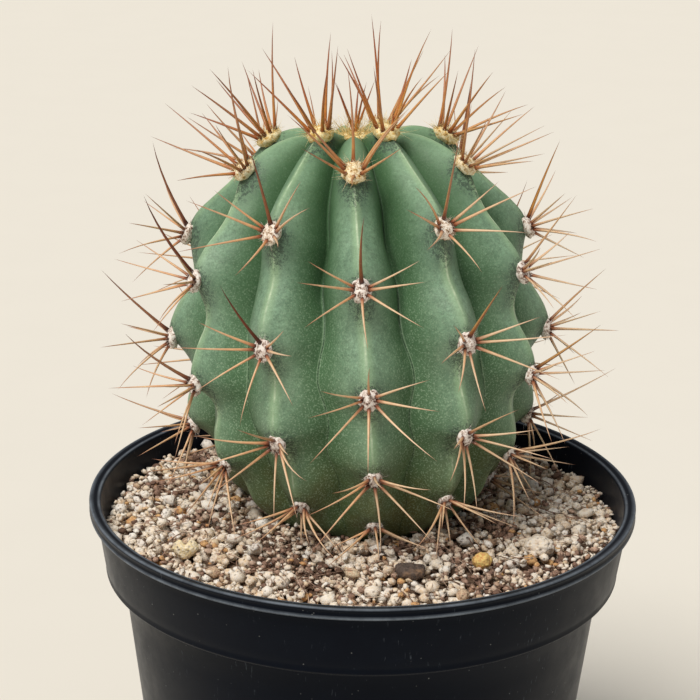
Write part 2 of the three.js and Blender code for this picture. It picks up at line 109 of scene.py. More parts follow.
WAIST_AT_CROWN = 1.8
WAIST_AT_EQUATOR = 5.2
BULGE_LEAD = 0.06
AREOLES_AT_MOST = 8
CREST_ROUND, CREST_WEAR = 0.035, 0.1
WAIST_POWER, WAIST_SKEW = 1.2, 0.75
KEEL_HEIGHT, KEEL_WIDTH = 0.35, 0.05
SEAM_LEAN = 0.08
PATCH_BELOW, PATCH_ABOVE, PATCH_ASIDE = 8.5, 4.2, 4.4

# How far down a crest the stem's form starts and stops changing
CROWN_RIM = (4, 14)
RIBS_PART = (15, 50)
SEAMS_LEAN = (20, 50)
WAISTS_DEEPEN = (15, 70)
GROOVES_EASE = (48, 92)
CHEEKS_FLATTEN = (58, 88)
CRESTS_BLUNT = (85, 118)
WAISTS_FADE_FROM = 95
GROOVES_CLOSE_FROM = 122
KEELS_FADE_FROM = 128

# Mesh of the stem
COLUMNS_PER_RIB = 36
STEM_ROWS = 226
ROOT_ROWS = 5
CUSHION_HEIGHT = 2
HAIR_DEPTH = 0.85  # the hairs' roots, as a share of the way out through the felt

# Camera: how far from the middle of the pot's mouth and how high above its level, its lens, and its turns
CAMERA_DISTANCE = 644
CAMERA_ELEVATION = math.radians(22.87)
CAMERA_LENS = 128.6
CAMERA_TURN = math.radians(-0.37)
CAMERA_TILT = math.radians(-3.24)
CAMERA_ROLL = math.radians(0.92)

# Key light: its direction is round from +X and up from the horizon
KEY_TURN = math.radians(-128)
KEY_LIFT = math.radians(60)
KEY_SPREAD = math.radians(30)
KEY_STRENGTH = 2.92


# ---------------------------------------------------------------- colours and nodes

AS_IS = (0.0, 1.0, 0.0, 1.0)  # the range that leaves a value from 0 to 1 alone


def colour(hex_code):
    """An sRGB hex value as linear RGBA."""
    channels = [int(hex_code[i:i + 2], 16) / 255 for i in (1, 3, 5)]
    return [c / 12.92 if c <= 0.04045 else ((c + 0.055) / 1.055) ** 2.4 for c in channels] + [1.0]


def cells(size_mm):
    """The Scale of a pattern whose cells are this wide, because Scale counts them in a metre."""
    return 1 / (size_mm * MM)


def add_node(tree, kind, inputs=(), out=0, stops=(), **settings):
    """Adds a shader node and returns one of its outputs, if it has any.

    inputs fills its sockets in order, or by name or number if it is a dict. Each is a value, an sRGB hex
    colour or another node's output. stops fills a colour ramp with colours or greys.
    """
    made = tree.nodes.new("ShaderNode" + kind)
    for name, value in settings.items():
        setattr(made, name, value)
    for key, value in inputs.items() if isinstance(inputs, dict) else enumerate(inputs):
        if isinstance(value, bpy.types.NodeSocket):
            tree.links.new(value, made.inputs[key])
        else:
            made.inputs[key].default_value = colour(value) if isinstance(value, str) else value
    for i, (place, value) in enumerate(stops):
        ramp = made.color_ramp.elements
        stop = ramp[i] if i < len(ramp) else ramp.new(place)
        stop.position = place
        stop.color = colour(value) if isinstance(value, str) else (value, value, value, 1)
    return made.outputs[out] if made.outputs else None


def start_material(name):
    """A material, a function that adds nodes to it, and the object's coordinates."""
    material = bpy.data.materials.new(name)
    material.use_nodes = True
    material.node_tree.nodes.clear()
    node = functools.partial(add_node, material.node_tree)
    return material, node, node("TexCoord", out="Object")


def noise_over(node, place, size_mm, detail, roughness):
    inputs = {"Vector": place, "Scale": cells(size_mm), "Detail": detail, "Roughness": roughness}
    return node("TexNoise", inputs)


def values_of(node, *names):
    """The mesh's own values with these names."""
    return [node("Attribute", out="Fac", attribute_name=name) for name in names]


def bumped(node, height, strength, depth_mm):
    return node("Bump", {"Height": height, "Strength": strength, "Distance": depth_mm * MM})


def give_surface(node, shader_inputs):
    node("OutputMaterial", {"Surface": node("BsdfPrincipled", shader_inputs)})


def paint(node, base, layers):
    """Lays colours over a base, from the bottom up.

    A layer is its colour and the ranges whose product is its share. A range is a value, the two ends
    that it is read between, what they give, and how it eases between them where that isn't straight.
    """
    for tone, *ranges in layers:
        share = 1.0
        for value, *ends in ranges:
            easing = ends.pop() if isinstance(ends[-1], str) else "LINEAR"
            part = node("MapRange", (value, *ends), interpolation_type=easing)
            share = node("Math", (share, part), operation="MULTIPLY")
        base = node("Mix", {0: share, 6: base, 7: tone}, 2, data_type="RGBA")
    return base


def grain_over(node, base, share, pattern, dark, light):
    """A base made darker and lighter by a pattern. dark and light are its (value, grey) ends."""
    greys = node("ValToRGB", (pattern,), stops=(dark, light))
    return node("Mix", {0: share, 6: base, 7: greys}, 2, data_type="RGBA", blend_type="OVERLAY")


# ---------------------------------------------------------------- materials


def cactus_skin():
    """Waxy cactus skin: grey blue-green with pale specks, a light crest line and a deep green groove, with
    light painted on: glow and highlight along the crests, and shade in the grooves and below the areoles.

    The mesh says how far each point is across its rib, how far down the crest in tenths of a metre, how
    swollen its rib is there and how weathered it is round its areoles, with the painted shade below them.
    """
    material, node, place = start_material("waxy_cactus_skin")
    across, down, swell, weathering_and_shade = values_of(node, "across", "down", "swell", "weathering_and_shade")
    cloud = noise_over(node, place, 14, 4, 0.6)
    mottle = noise_over(node, place, 2.6, 5, 0.7)
    pores = noise_over(node, place, 0.8, 5, 0.85)
    dusting = noise_over(node, place, 0.42, 2, 0.6)
    base = node("ValToRGB", (cloud,), stops=((0.3, "#6c8b72"), (0.5, "#79987d"), (0.72, "#8ba88d")))
    base = grain_over(node, base, 0.7, mottle, (0.3, 0.36), (0.7, 0.64))
    base = grain_over(node, base, 0.8, pores, (0.35, 0.3), (0.65, 0.7))

    # The weathering and the painted shade round each areole are stippled: the stronger they are, the more
    # of the skin's pores are dark.
    stipple = node("Math", (pores, node("Math", (weathering_and_shade, 0.16), operation="MULTIPLY")), operation="ADD")

    # Round dots, of which only some show
    dots = node("TexVoronoi", {"Vector": place, "Scale": cells(0.7), "Randomness": 1.0}).node
    chosen = node("SeparateColor", (dots.outputs["Color"],))

    base = paint(node, base, (
        # Lower down the skin is older, duller and darker, and it is freshest round the crown.
        ("#5b7955", (down, 0.75, 1.25, 0.0, 0.85)),
        ("#7fa67a", (down, 0.15, 0.5, 0.55, 0.0)),
        # The groove is a deep leaf green, strongest near the crown; its darkness is partly painted shade in
        # the groove's hollow.
        ("#3d633b", (across, 0.12, 0.85, 0.0, 1.0, "SMOOTHSTEP"), (down, 0.5, 1.0, 0.85, 0.75)),
        # Painted light at the crest: a yellower band of painted glow and highlight where the thin flesh
        # would let light through, and a fine pale line along the edge that is partly the crest's own colour
        # and partly a painted highlight.
        ("#a9c99b", (across, 0.0, 0.22, 1.0, 0.0, "SMOOTHERSTEP"), (swell, 0.0, 1.0, 0.55, 0.3)),
        ("#d8e7c6", (across, 0.0, 0.04, 1.0, 0.0, "SMOOTHERSTEP"), (swell, 0.1, 0.95, 0.7, 0.1),
         (mottle, 0.38, 0.62, 0.0, 1.2)),
        # Grey weathering round each areole, most of it below, where it is also painted shade under the
        # areole's swelling
        ("#34423a", (stipple, 0.54, 0.62, 0.0, 0.8), (weathering_and_shade, 0.05, 0.5, 0.0, 1.0)),
        # Close to the grit the skin turns olive and corky in patches.
        ("#5f6238", (down, 1.02, 1.26, 0.0, 0.9), (cloud, 0.38, 0.6, 0.25, 1.0)),
        # A thin seam runs down each groove with a paler edge; the dark line along its crease is painted
        # shade.
        ("#b9cfae", (across, 0.955, 0.975, 0.0, 1.0), (across, 0.975, 0.985, 1.0, 0.0),
         (down, 0.62, 0.7, 0.0, 0.26), (down, 0.9, 1.05, 1.0, 0.2)),
        ("#28402a", (across, 0.978, 0.992, 0.0, 1.0), (mottle, 0.35, 0.6, 0.35, 0.85)),
        # Pale specks: a dense fine dusting of them, and a few bigger dots
        ("#a9c3a4", (dusting, 0.52, 0.68, 0.0, 1.0), (down, 0.4, 0.95, 0.1, 0.5)),
        ("#c3d8bc", (dots.outputs["Distance"], 0.05, 0.22, 1.0, 0.0), (chosen, 0.55, 1.0, 0.0, 0.6),
         (down, 0.4, 0.9, 0.2, 0.55)),
    ))

    # The wax is patchy, and the skin is very finely pitted.
    pitting = noise_over(node, place, 0.7, 3, 0.5)
    give_surface(node, {
        "Base Color": base,
        "Roughness": node("MapRange", (mottle, 0.3, 0.7, 0.48, 0.66)),
        "IOR": 1.38,
        "Normal": bumped(node, pitting, 0.25, 0.25),
    })
    return material


def spine_horn():
    """Horny spine: near black where it leaves the felt, red-brown while young, and later tan and cream,
    with a painted highlight down one side.
    """
    material, node, place = start_material("horny_spine")
    along, age, dark, side = values_of(node, "along", "age", "dark", "side")
    young = node("ValToRGB", (along,), stops=(
        (0.0, "#4a1c0c"), (0.05, "#a8541c"), (0.18, "#c98232"), (0.45, "#b26330"),
        (0.8, "#9c5535"), (1.0, "#5c2c22")))
    brown = node("ValToRGB", (along,), stops=(
        (0.0, "#34120b"), (0.12, "#63290f"), (0.5, "#7a3c1e"), (1.0, "#4a241b")))
    old = node("ValToRGB", (along,), stops=(
        (0.0, "#3a211c"), (0.05, "#a8684a"), (0.18, "#e0ad7d"), (0.55, "#e8bf95"),
        (0.85, "#bd8a6a"), (1.0, "#75493a")))

    # Painted highlight: one side of each spine is painted lighter, golden while it is young and cream
    # later.
    highlight_tone = node("Mix", {0: age, 6: "#e2a853", 7: "#f6e0c0"}, 2, data_type="RGBA")
    base = paint(node, young, (
        (brown, (dark, *AS_IS)),
        (old, (age, *AS_IS)),
        (highlight_tone, (side, *AS_IS), (along, 0.03, 0.2, 0.0, 0.75)),
    ))

    # The horn is finely streaked.
    streak = noise_over(node, place, 1.1, 3, 0.5)
    give_surface(node, {
        "Base Color": grain_over(node, base, 0.5, streak, (0.32, 0.38), (0.68, 0.62)),
        "Roughness": 0.4,
        "IOR": 1.5,
        "Normal": bumped(node, streak, 0.3, 0.1),
    })
    return material


def areole_wool():
    """Areole felt: short matted wool, yellow-cream when young and pale with brown specks when old."""
    material, node, place = start_material("areole_felt")
    age, = values_of(node, "age")
    fleck = noise_over(node, place, 1.0, 4, 0.75)
    young = node("ValToRGB", (fleck,), stops=((0.33, "#a56a26"), (0.42, "#edc66f"), (0.57, "#fff2c0")))
    old = node("ValToRGB", (fleck,), stops=((0.38, "#573c31"), (0.45, "#cbb5a6"), (0.54, "#fbf4ec")))
    base = node("Mix", {0: age, 6: young, 7: old}, 2, data_type="RGBA")
    give_surface(node, {"Base Color": base, "Roughness": 0.95, "IOR": 1.4})
    return material


def pot_plastic():
    """Moulded black polypropylene: near black and satin, with hairline scuffs, specks of pale dust and a
    grey painted highlight along the lip's ridges.
    """
    material, node, place = start_material("moulded_black_polypropylene")
    # Where the lip's ridges get their painted highlight
    lip_highlight, = values_of(node, "lip_highlight")
    scuff = noise_over(node, place, 9, 6, 0.72)

    # The scratches slant down the wall, and each is about eleven times as long as it is wide.
    slanted = node("Mapping", {"Vector": place, "Rotation": (0.5, 0.4, 0.0), "Scale": (1.0, 1.0, 0.09)})
    scratch = noise_over(node, slanted, 0.6, 2, 0.5)
    dust = node("TexVoronoi", {"Vector": place, "Scale": cells(1.9), "Randomness": 1.0}).node
    chosen = node("SeparateColor", (dust.outputs["Color"],), out=1)
    base = node("ValToRGB", (scuff,), stops=((0.3, "#060912"), (0.62, "#080d16"), (0.8, "#0f141e")))
    base = paint(node, base, (
        ("#4d545c", (scratch, 0.66, 0.72, 0.0, 1.0), (scuff, 0.5, 0.62, 0.0, 0.6)),
        # Sparse bright grains of dust
        ("#8f918f", (dust.outputs["Distance"], 0.04, 0.11, 1.0, 0.0), (chosen, 0.6, 1.0, 0.0, 0.8)),
        # Painted highlight: the lip's ridges are painted a lighter grey where they would catch the light.
        ("#6f7780", (lip_highlight, *AS_IS), (scuff, 0.35, 0.6, 0.45, 1.0)),
    ))
    give_surface(node, {
        "Base Color": base,
        "Roughness": node("MapRange", (scuff, 0.3, 0.75, 0.3, 0.5)),
        "IOR": 1.19,
        "Specular Tint": "#c3d0ea",
        "Sheen Weight": 0.06,
        "Sheen Roughness": 0.4,
        "Normal": bumped(node, scuff, 0.12, 0.2),
    })
    return material


def stone(name, stops, pore_mm, pore_depth_mm):
    """Rough stone: its colour runs along stops by each grain's own tint, and it is stained and pitted."""
    material, node, place = start_material(name)
    tint, = values_of(node, "tint")
    grit = noise_over(node, place, 0.7, 5, 0.8)
    stain = noise_over(node, place, 3.5, 3, 0.6)
    pores = node("TexVoronoi", {"Vector": place, "Scale": cells(pore_mm)})
    base = grain_over(node, node("ValToRGB", (tint,), stops=stops), 0.85, grit, (0.34, 0.22), (0.62, 0.8))
    base = paint(node, base, (
        ("#b98f68", (stain, 0.56, 0.74, 0.0, 0.45)),
        # The pores are painted darker: painted shade in the pits.
        ("#7c6350", (pores, 0.12, 0.34, 0.45, 0.0)),
    ))
    pit = node("MapRange", (pores, 0.12, 0.34, 1.0, 0.0))
    height = node("Math", (grit, pit), operation="SUBTRACT")
    give_surface(node, {
        "Base Color": base,
        "Roughness": 0.9,
        "IOR": 1.45,
        "Normal": bumped(node, height, 0.8, pore_depth_mm),
    })
    return material


def peat():
    """Peat mix: dark brown and fibrous, with lighter dried crumbs."""
    material, node, place = start_material("fibrous_peat")
    crumb = noise_over(node, place, 1.6, 6, 0.78)
    base = node("ValToRGB", (crumb,), stops=((0.28, "#3b2c22"), (0.5, "#6b5443"), (0.68, "#95806c")))
    give_surface(node, {
        "Base Color": base,
        "Roughness": 0.97,
        "IOR": 1.4,
        "Normal": bumped(node, crumb, 1.0, 0.8),
    })
    return material


def backdrop_paper():
    """Matt pale backdrop paper: even, with a faint tooth."""
    material, node, place = start_material("matt_backdrop_paper")
    tooth = noise_over(node, place, 30, 3, 0.5)
    base = node("ValToRGB", (tooth,), stops=((0.3, "#ede9de"), (0.7, "#eeeadf")))
    give_surface(node, {"Base Color": base, "Roughness": 1.0, "IOR": 1.1})
    return material


# ---------------------------------------------------------------- meshes


def smoothstep(value, low, high):
    share = np.clip((value - low) / (high - low), 0, 1)
    return share * share * (3 - 2 * share)


def vertex_places(mesh):
    places = np.empty(len(mesh.vertices) * 3)
    mesh.vertices.foreach_get("co", places)
    return places.reshape(-1, 3)


def shape_arrays(bm):
    """A bmesh's points and its triangles' corners, as arrays."""
    bmesh.ops.triangulate(bm, faces=bm.faces)
    mesh = bpy.data.meshes.new("shape")
    bm.to_mesh(mesh)
    bm.free()
    arrays = vertex_places(mesh), np.array([list(face.vertices) for face in mesh.polygons])
    bpy.data.meshes.remove(mesh)
    return arrays


def put_values(mesh, values):
    for name, numbers in values.items():
        mesh.attributes.new(name, "FLOAT", "POINT").data.foreach_set("value", np.asarray(numbers, float))


def joined_copies(name, parts, materials):
    """One object from many copies. A part is (points, corners, values of its points, material number)."""
    points = np.concatenate([part[0] for part in parts]) * MM
    starts = np.cumsum([0] + [len(part[0]) for part in parts[:-1]])
    corners = np.concatenate([part[1] + start for part, start in zip(parts, starts)])
    mesh = bpy.data.meshes.new(name)
    mesh.vertices.add(len(points))
    mesh.vertices.foreach_set("co", points.ravel())
    mesh.loops.add(corners.size)
    mesh.loops.foreach_set("vertex_index", corners.ravel())
    mesh.polygons.add(len(corners))
    mesh.polygons.foreach_set("loop_start", np.arange(len(corners)) * 3)
    mesh.polygons.foreach_set("material_index", np.concatenate([np.full(len(p[1]), p[3]) for p in parts]))
    mesh.update(calc_edges=True)
    put_values(mesh, {key: np.concatenate([np.broadcast_to(p[2][key], len(p[0])) for p in parts])
                      for key in parts[0][2]})
    return new_object(name, mesh, materials)


def new_object(name, mesh, materials):
    mesh.name = name
    for material in materials:
        mesh.materials.append(material)
    mesh.shade_smooth()
    made = bpy.data.objects.new(name, mesh)
    bpy.context.scene.collection.objects.link(made)
    return made


def from_bmesh(name, bm, materials):
    mesh = bpy.data.meshes.new(name)
    bm.to_mesh(mesh)
    bm.free()
    return new_object(name, mesh, materials)


def finish_piece(piece, slot, *replaced):
    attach(piece, BODY)
    if replaced:
        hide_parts(*replaced)


# ---------------------------------------------------------------- pot


def spun(outline, steps):
    """A closed outline of (radius, height) points turned once round the Z axis."""
    bm = bmesh.new()
    ring = [bm.verts.new((radius * MM, 0, height * MM)) for radius, height in outline]
    edges = [bm.edges.new((a, b)) for a, b in zip(ring, ring[1:] + ring[:1])]
    bmesh.ops.spin(bm, geom=ring + edges, cent=(0, 0, 0), axis=(0, 0, 1), angle=2 * math.pi,
                   steps=steps, use_merge=True)
    bmesh.ops.remove_doubles(bm, verts=bm.verts, dist=1e-6)
    bmesh.ops.recalc_face_normals(bm, faces=bm.faces)
    return bm


def arc(centre, radius, start, end, count):
    """Points on an arc, with its angles in degrees from straight outwards."""
    turns = [math.radians(start + (end - start) * i / (count - 1)) for i in range(count)]
    return [(centre[0] + radius * math.cos(t), centre[1] + radius * math.sin(t)) for t in turns]


def make_pot(material):
    wall_top = POT_HEIGHT - COLLAR_HEIGHT - STEP_HEIGHT
    collar_bottom = POT_HEIGHT - COLLAR_HEIGHT
    floor_top = FLOOR_RISE + FLOOR_THICKNESS
    wall = lambda z: WALL_TOP_RADIUS - WALL_DRAFT * (wall_top - z)
    top = POT_HEIGHT
    foot = wall(0)

    # The outline runs from the middle drain hole out under the floor, round the foot ring and up the wall.
    outline = [(DRAIN_RADIUS, FLOOR_RISE), (foot - FOOT_WIDTH - 1.4, FLOOR_RISE)]
    outline += arc((foot - FOOT_WIDTH - 1.4, FLOOR_RISE - 1.0), 1.0, 90, 0, 4)
    outline += arc((foot - FOOT_WIDTH + 0.4, 0.8), 0.8, 180, 270, 4)
    outline += arc((foot - 0.8, 0.8), 0.8, 270, 353, 5)
    outline += [(wall(z), z) for z in np.linspace(4, wall_top - 1.2, 12)]
    outline += [(WALL_TOP_RADIUS + 0.25, wall_top - 0.4), (WALL_TOP_RADIUS + 1.3, wall_top + 0.15)]

    # The step under the collar, its rounded lower edge with a fine ridge, and the tapered collar
    outline += [(COLLAR_BOTTOM_RADIUS - 1.3, collar_bottom - 0.45)]
    outline += arc((COLLAR_BOTTOM_RADIUS - 0.55, collar_bottom + 0.5), 0.75, 280, 360, 5)
    outline += [(COLLAR_BOTTOM_RADIUS + 0.02, collar_bottom + 1.1)]
    collar_end = top - 3.2
    slope = (COLLAR_TOP_RADIUS - COLLAR_BOTTOM_RADIUS) / (collar_end - collar_bottom)
    heights = np.linspace(collar_bottom + 2, collar_end - 0.6, 8)
    outline += [(COLLAR_BOTTOM_RADIUS + slope * (z - collar_bottom), z) for z in heights]

    # The lip: a bead with a fine ridge along each edge and a shallow channel between them
    outline += [(COLLAR_TOP_RADIUS + 0.15, collar_end + 0.05), (LIP_RADIUS - 0.75, collar_end + 0.25)]
    outline += arc((LIP_RADIUS - 0.45, collar_end + 0.62), 0.42, 270, 400, 7)
    outline += [(LIP_RADIUS - 0.3, top - 1.9), (LIP_RADIUS - 0.34, top - 1.3)]
    outline += arc((LIP_RADIUS - 0.55, top - 0.55), 0.52, -30, 92, 8)
    outline += [(LIP_RADIUS - 1.3, top - 0.12), (LIP_RADIUS - 1.9, top - 0.3)]

    # Down the inside of the collar and the wall, and back across the floor
    inner = COLLAR_TOP_RADIUS - WALL_THICKNESS
    outline += arc((inner + 0.7, top - 1.0), 0.7, 95, 180, 5)
    inner_bottom = COLLAR_BOTTOM_RADIUS - WALL_THICKNESS
    for share in (0.8, 0.4, 0.0):
        outline += [(inner_bottom + (inner - inner_bottom) * share, collar_bottom + 1 + 16 * share)]
    bottom = wall(floor_top) - WALL_THICKNESS
    outline += [(WALL_TOP_RADIUS - WALL_THICKNESS, wall_top)]
    outline += [(bottom, floor_top + 1.5), (bottom - 1.5, floor_top), (DRAIN_RADIUS, floor_top)]
    pot = from_bmesh("pot_shell", spun(outline, POT_STEPS), [material])

    # A circle of drain holes through the floor, round the middle one
    cutters = bmesh.new()
    for i in range(DRAIN_COUNT):
        angle = 2 * math.pi * i / DRAIN_COUNT
        at = Vector((math.cos(angle), math.sin(angle), 0)) * DRAIN_CIRCLE_RADIUS * MM
        bmesh.ops.create_cone(cutters, cap_ends=True, segments=32, radius1=DRAIN_RADIUS * MM,
                              radius2=DRAIN_RADIUS * MM, depth=4 * floor_top * MM,
                              matrix=Matrix.Translation(at))
    drill = from_bmesh("drill", cutters, [])
    cut = pot.modifiers.new("drains", "BOOLEAN")
    cut.operation = "DIFFERENCE"
    cut.solver = "EXACT"
    cut.object = drill
    holed = bpy.data.meshes.new_from_object(pot.evaluated_get(bpy.context.evaluated_depsgraph_get()))
    pot.modifiers.clear()
    pot.data = holed
    bpy.data.objects.remove(drill)

    # Where the lip's painted highlight lies: wholly on the lip's ridges, and not at all half a millimetre
    # from them
    ridges = [(LIP_RADIUS - 0.05, collar_end + 0.6), (LIP_RADIUS - 0.3, top - 0.1),
              (inner + 0.7, top - 0.3)]
    points = vertex_places(pot.data)
    spread, height = np.hypot(points[:, 0], points[:, 1]) / MM, points[:, 2] / MM
    near = [np.hypot(spread - radius, height - level) for radius, level in ridges]
    put_values(pot.data, {"lip_highlight": np.clip(1.4 - np.min(near, axis=0) / 0.35, 0, 1)})
    finish_piece(pot, "pot_plastic", "nursery_pot")


# ---------------------------------------------------------------- stem

PLANT = (Matrix.Translation((PLANT_OFFSET_X, 0, POT_HEIGHT - PLANT_BELOW_RIM))
         @ Matrix.Rotation(-PLANT_LEAN_BACK, 4, "X") @ Matrix.Rotation(-PLANT_LEAN_LEFT, 4, "Y"))
PLANT_ARRAY = np.array(PLANT)


def planted(points):
    """Points of the plant, from its own upright frame to its place in the pot."""
    return points @ PLANT_ARRAY[:3, :3].T + PLANT_ARRAY[:3, 3]


def crest_meridian():
    """The barrel's outline through a crest, from the crown's middle down: radius, height, length so far."""
    angle = np.linspace(0, NECK_ANGLE, 601)
    upper = angle < math.pi / 2
    power = np.where(upper, 2 / CROWN_POWER, 1)
    radius = STEM_RADIUS * np.sin(angle) ** power
    fall = np.cos(angle)
    rise = np.where(upper, CROWN_RISE * np.abs(fall) ** power, BASE_DROP * fall)
    dimple = np.where(upper, DIMPLE_DEPTH * np.exp(-(radius / DIMPLE_RADIUS) ** 2), 0)
    height = EQUATOR_RISE + rise - dimple
    steps = np.hypot(np.diff(radius), np.diff(height))
    return radius, height, np.concatenate([[0], np.cumsum(steps)])


MERIDIAN_RADIUS, MERIDIAN_HEIGHT, MERIDIAN_LENGTH = crest_meridian()
NECK_AT = MERIDIAN_LENGTH[-1]
WIDEST = int(np.argmax(MERIDIAN_RADIUS))
LOWER_HEIGHT, LOWER_LENGTH = MERIDIAN_HEIGHT[WIDEST:], MERIDIAN_LENGTH[WIDEST:]


def crest_at(length):
    """The crest's radius and height at a length, and its outward normal's two parts."""
    def look(values, at):
        return np.interp(at, MERIDIAN_LENGTH, values)
    before, after = np.clip(length - 0.3, 0, NECK_AT), np.clip(length + 0.3, 0, NECK_AT)
    run = look(MERIDIAN_RADIUS, after) - look(MERIDIAN_RADIUS, before)
    drop = look(MERIDIAN_HEIGHT, after) - look(MERIDIAN_HEIGHT, before)
    size = np.hypot(run, drop)
    return look(MERIDIAN_RADIUS, length), look(MERIDIAN_HEIGHT, length), -drop / size, run / size


def twisted_angle(rib, length):
    return rib * RIB_PITCH + TWIST_START + TWIST_RATE * length


def areole_length(rib, count):
    return SPACING_LIMIT - SPACING_START * SPACING_FACTOR ** (count + RIB_PHASES[rib])


def swelling(rib, length):
    """1 where a rib swells at an areole and 0 midway between two."""
    left = np.maximum(SPACING_LIMIT - length, 1)
    count = np.log(left / SPACING_START) / math.log(SPACING_FACTOR) - RIB_PHASES[rib % RIB_COUNT]
    phase = (count + BULGE_LEAD) % 1
    return (1 + np.cos(2 * math.pi * phase ** WAIST_SKEW)) / 2


def skin_points(rib, across, length):
    """The skin's points in the plant's own frame. across is 0 on a crest and 1 or -1 in a groove."""
    radius, height, out, up = crest_at(length)
    side = np.abs(across)
    swell = swelling(rib, length)
    neighbour = swelling(rib + np.where(across < 0, -1, 1), length)
    fade = 1 - smoothstep(length, KEELS_FADE_FROM, NECK_AT)

    # A ridge with fleshy cheeks and a narrow, deep groove near the crown, and a plain wedge lower down
    blunt = CREST_ROUND + CREST_WEAR * smoothstep(length, *CRESTS_BLUNT)
    wedge = (np.hypot(side, blunt) - blunt) / (np.hypot(1, blunt) - blunt)
    cheek = CHEEK_SLOPE * wedge + (1 - CHEEK_SLOPE) * side ** 4
    wedge = wedge + (cheek - wedge) * (1 - smoothstep(length, *CHEEKS_FLATTEN))
    share = smoothstep(length, *GROOVES_EASE)
    share = CROWN_GROOVE_SHARE + (BASE_GROOVE_SHARE - CROWN_GROOVE_SHARE) * share
    depth = radius * share * (1 - smoothstep(length, GROOVES_CLOSE_FROM, NECK_AT))
    waist = WAIST_AT_CROWN + (WAIST_AT_EQUATOR - WAIST_AT_CROWN) * smoothstep(length, *WAISTS_DEEPEN)
    waist = waist * (1 - swell) * (1 - smoothstep(length, WAISTS_FADE_FROM, NECK_AT))
    waist = waist * smoothstep(length, *CROWN_RIM)
    inset = depth * wedge + waist * (1 - side) ** WAIST_POWER

    # A fine raised keel along the crest between areoles
    keel = np.exp(-((side / KEEL_WIDTH) ** 2)) * (1 - swell) * fade
    inset = inset - KEEL_HEIGHT * keel

    # The seam leans away from whichever rib is swelling beside it.
    lean = SEAM_LEAN * (swell - neighbour) * side ** 2 * fade * smoothstep(length, *SEAMS_LEAN)
    turn = twisted_angle(rib, length) + RIB_TURN[rib] * (1 - side) + across * (RIB_PITCH / 2) * (1 + lean)
    reach = radius * RIB_REACH[rib] * (1 - side) * smoothstep(length, *RIBS_PART)
    at = np.maximum(radius + reach - out * inset, 0)
    return np.stack([at * np.sin(turn), -at * np.cos(turn), height - up * inset], -1), swell


def weathering_and_shade_patches(rib, across, length):
    """How weathered the skin is, with painted shade: a patch round each areole, reaching farther below it
    than above to paint shade under the areole's swelling.
    """
    weathering_and_shade = np.zeros(length.shape)
    aside = across * crest_at(length)[0] * RIB_PITCH / 2
    for own_rib in range(RIB_COUNT):
        on_rib = rib == own_rib
        for count in range(AREOLES_AT_MOST):
            below = length[on_rib] - areole_length(own_rib, count)
            reach = np.where(below > 0, PATCH_BELOW, PATCH_ABOVE)
            patch = np.exp(-((below / reach) ** 2 + (aside[on_rib] / PATCH_ASIDE) ** 2))
            weathering_and_shade[on_rib] = np.maximum(weathering_and_shade[on_rib], patch)
    return weathering_and_shade


def make_stem(material):
    """A grid wrapped round the plant's axis: columns run down the ribs, rows run round them."""
    columns = RIB_COUNT * COLUMNS_PER_RIB
    bm = bmesh.new()
    bmesh.ops.create_grid(bm, x_segments=columns, y_segments=STEM_ROWS, size=1)
    mesh = bpy.data.meshes.new("stem")
    bm.to_mesh(mesh)
    bm.free()
    place = vertex_places(mesh)
    column = np.round((place[:, 0] + 1) / 2 * columns).astype(int) % columns
    row = np.round((1 - place[:, 1]) / 2 * STEM_ROWS).astype(int)
    rib = np.round(column / COLUMNS_PER_RIB).astype(int)
    across = 2 * (column / COLUMNS_PER_RIB - rib)
    length = np.minimum(row / (STEM_ROWS - ROOT_ROWS), 1) * NECK_AT
    points, swell = skin_points(rib % RIB_COUNT, across, length)

    # Small unevenness of the flesh, more of it low on the stem
    rough = np.array([noise.noise(Vector(p) / 9) + 0.5 * noise.noise(Vector(p) / 3.6) for p in points])
    spread = np.hypot(points[:, 0], points[:, 1])
    push = 0.32 * rough * smoothstep(length, 8, 30)
    points[:, :2] *= (1 + push / np.maximum(spread, 8))[:, None]

    # Below the neck the stem closes as a rounded root crown.
    below = np.clip((row - (STEM_ROWS - ROOT_ROWS)) / ROOT_ROWS, 0, 1)
    closing = np.sqrt(1 - below ** 2)
    points[:, :2] *= closing[:, None]
    points[:, 2] -= below * ROOT_DEPTH
    # Weathering round each areole, with painted shade below it
    weathering_and_shade = weathering_and_shade_patches(rib % RIB_COUNT, across, length)
    mesh.vertices.foreach_set("co", (planted(points) * MM).ravel())
    put_values(mesh, {"across": np.abs(across), "down": length / 100, "swell": swell, "weathering_and_shade": weathering_and_shade})

    bm = bmesh.new()
    bm.from_mesh(mesh)
    bpy.data.meshes.remove(mesh)
    bmesh.ops.remove_doubles(bm, verts=bm.verts, dist=2e-6)
    bmesh.ops.recalc_face_normals(bm, faces=bm.faces)
    stem = from_bmesh("cactus_stem_skin", bm, [material])
    finish_piece(stem, "cactus_skin", "cactus_stem")


# ---------------------------------------------------------------- areoles


def unit_spine(sides, rings):
    """A spine from 0 to 1 along Z, as thick as 1 near its foot, tapering like an awl to its tip."""
    bm = bmesh.new()
    bmesh.ops.create_cone(bm, cap_ends=True, segments=sides, radius1=1, radius2=0.001, depth=1,
                          matrix=Matrix.Translation((0, 0, 0.5)))
    for i in range(1, rings):
        height = (i / rings) ** 1.35
        bmesh.ops.bisect_plane(bm, geom=bm.verts[:] + bm.edges[:] + bm.faces[:],
                               plane_co=(0, 0, height), plane_no=(0, 0, 1))
    for vert in bm.verts:
        height = vert.co.z
        girth = (1 - height) ** 0.8 * (0.82 + 0.3 * math.exp(-((height / 0.05) ** 2)))
        around = math.hypot(vert.co.x, vert.co.y)
        if around > 0:
            vert.co.x *= girth / around
            vert.co.y *= girth / around
    return shape_arrays(bm)


